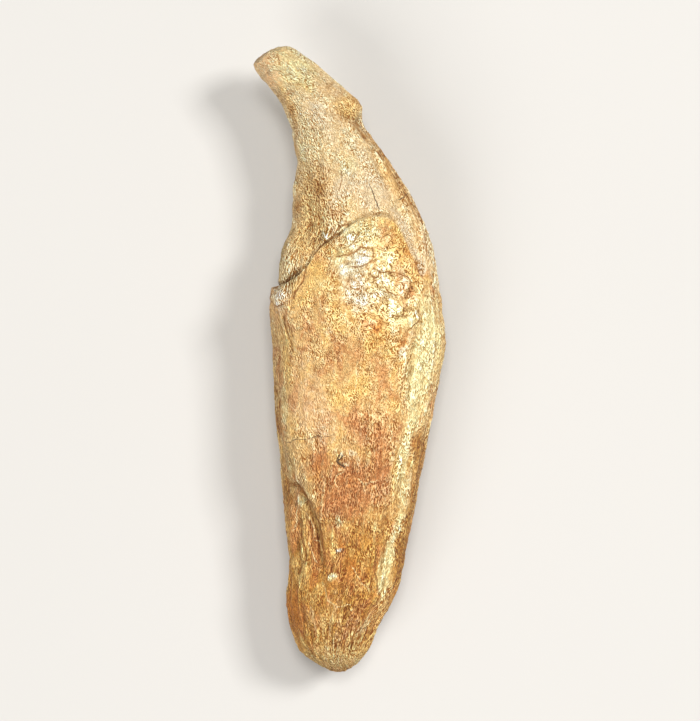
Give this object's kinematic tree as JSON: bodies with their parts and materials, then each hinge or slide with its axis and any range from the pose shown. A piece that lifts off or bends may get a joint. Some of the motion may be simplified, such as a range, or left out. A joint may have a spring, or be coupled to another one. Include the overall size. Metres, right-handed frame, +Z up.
{
  "type": "fossil cave bear tooth",
  "caption": "Fossil cave bear canine tooth, curved, with a worn crown, a thick cement-covered root and its cement ledge, lying on its side.",
  "frame": {"origin": "on the surface that the tooth rests on, under the middle of its box", "axes": "+Y along the tooth to the worn crown tip, +Z up from the resting face, and the outer edge of the curve on +X"},
  "size_m": [0.0346, 0.1124, 0.0206],
  "materials": {
    "fossil_tooth": "matt mineralised tooth: golden tan root cement with fine lengthwise fibres and pits, pale smoother enamel on the crown, satin on the worn tip"
  },
  "bodies": {
    "root": {"tooth": "fossil_tooth"}
  },
  "joints": []
}
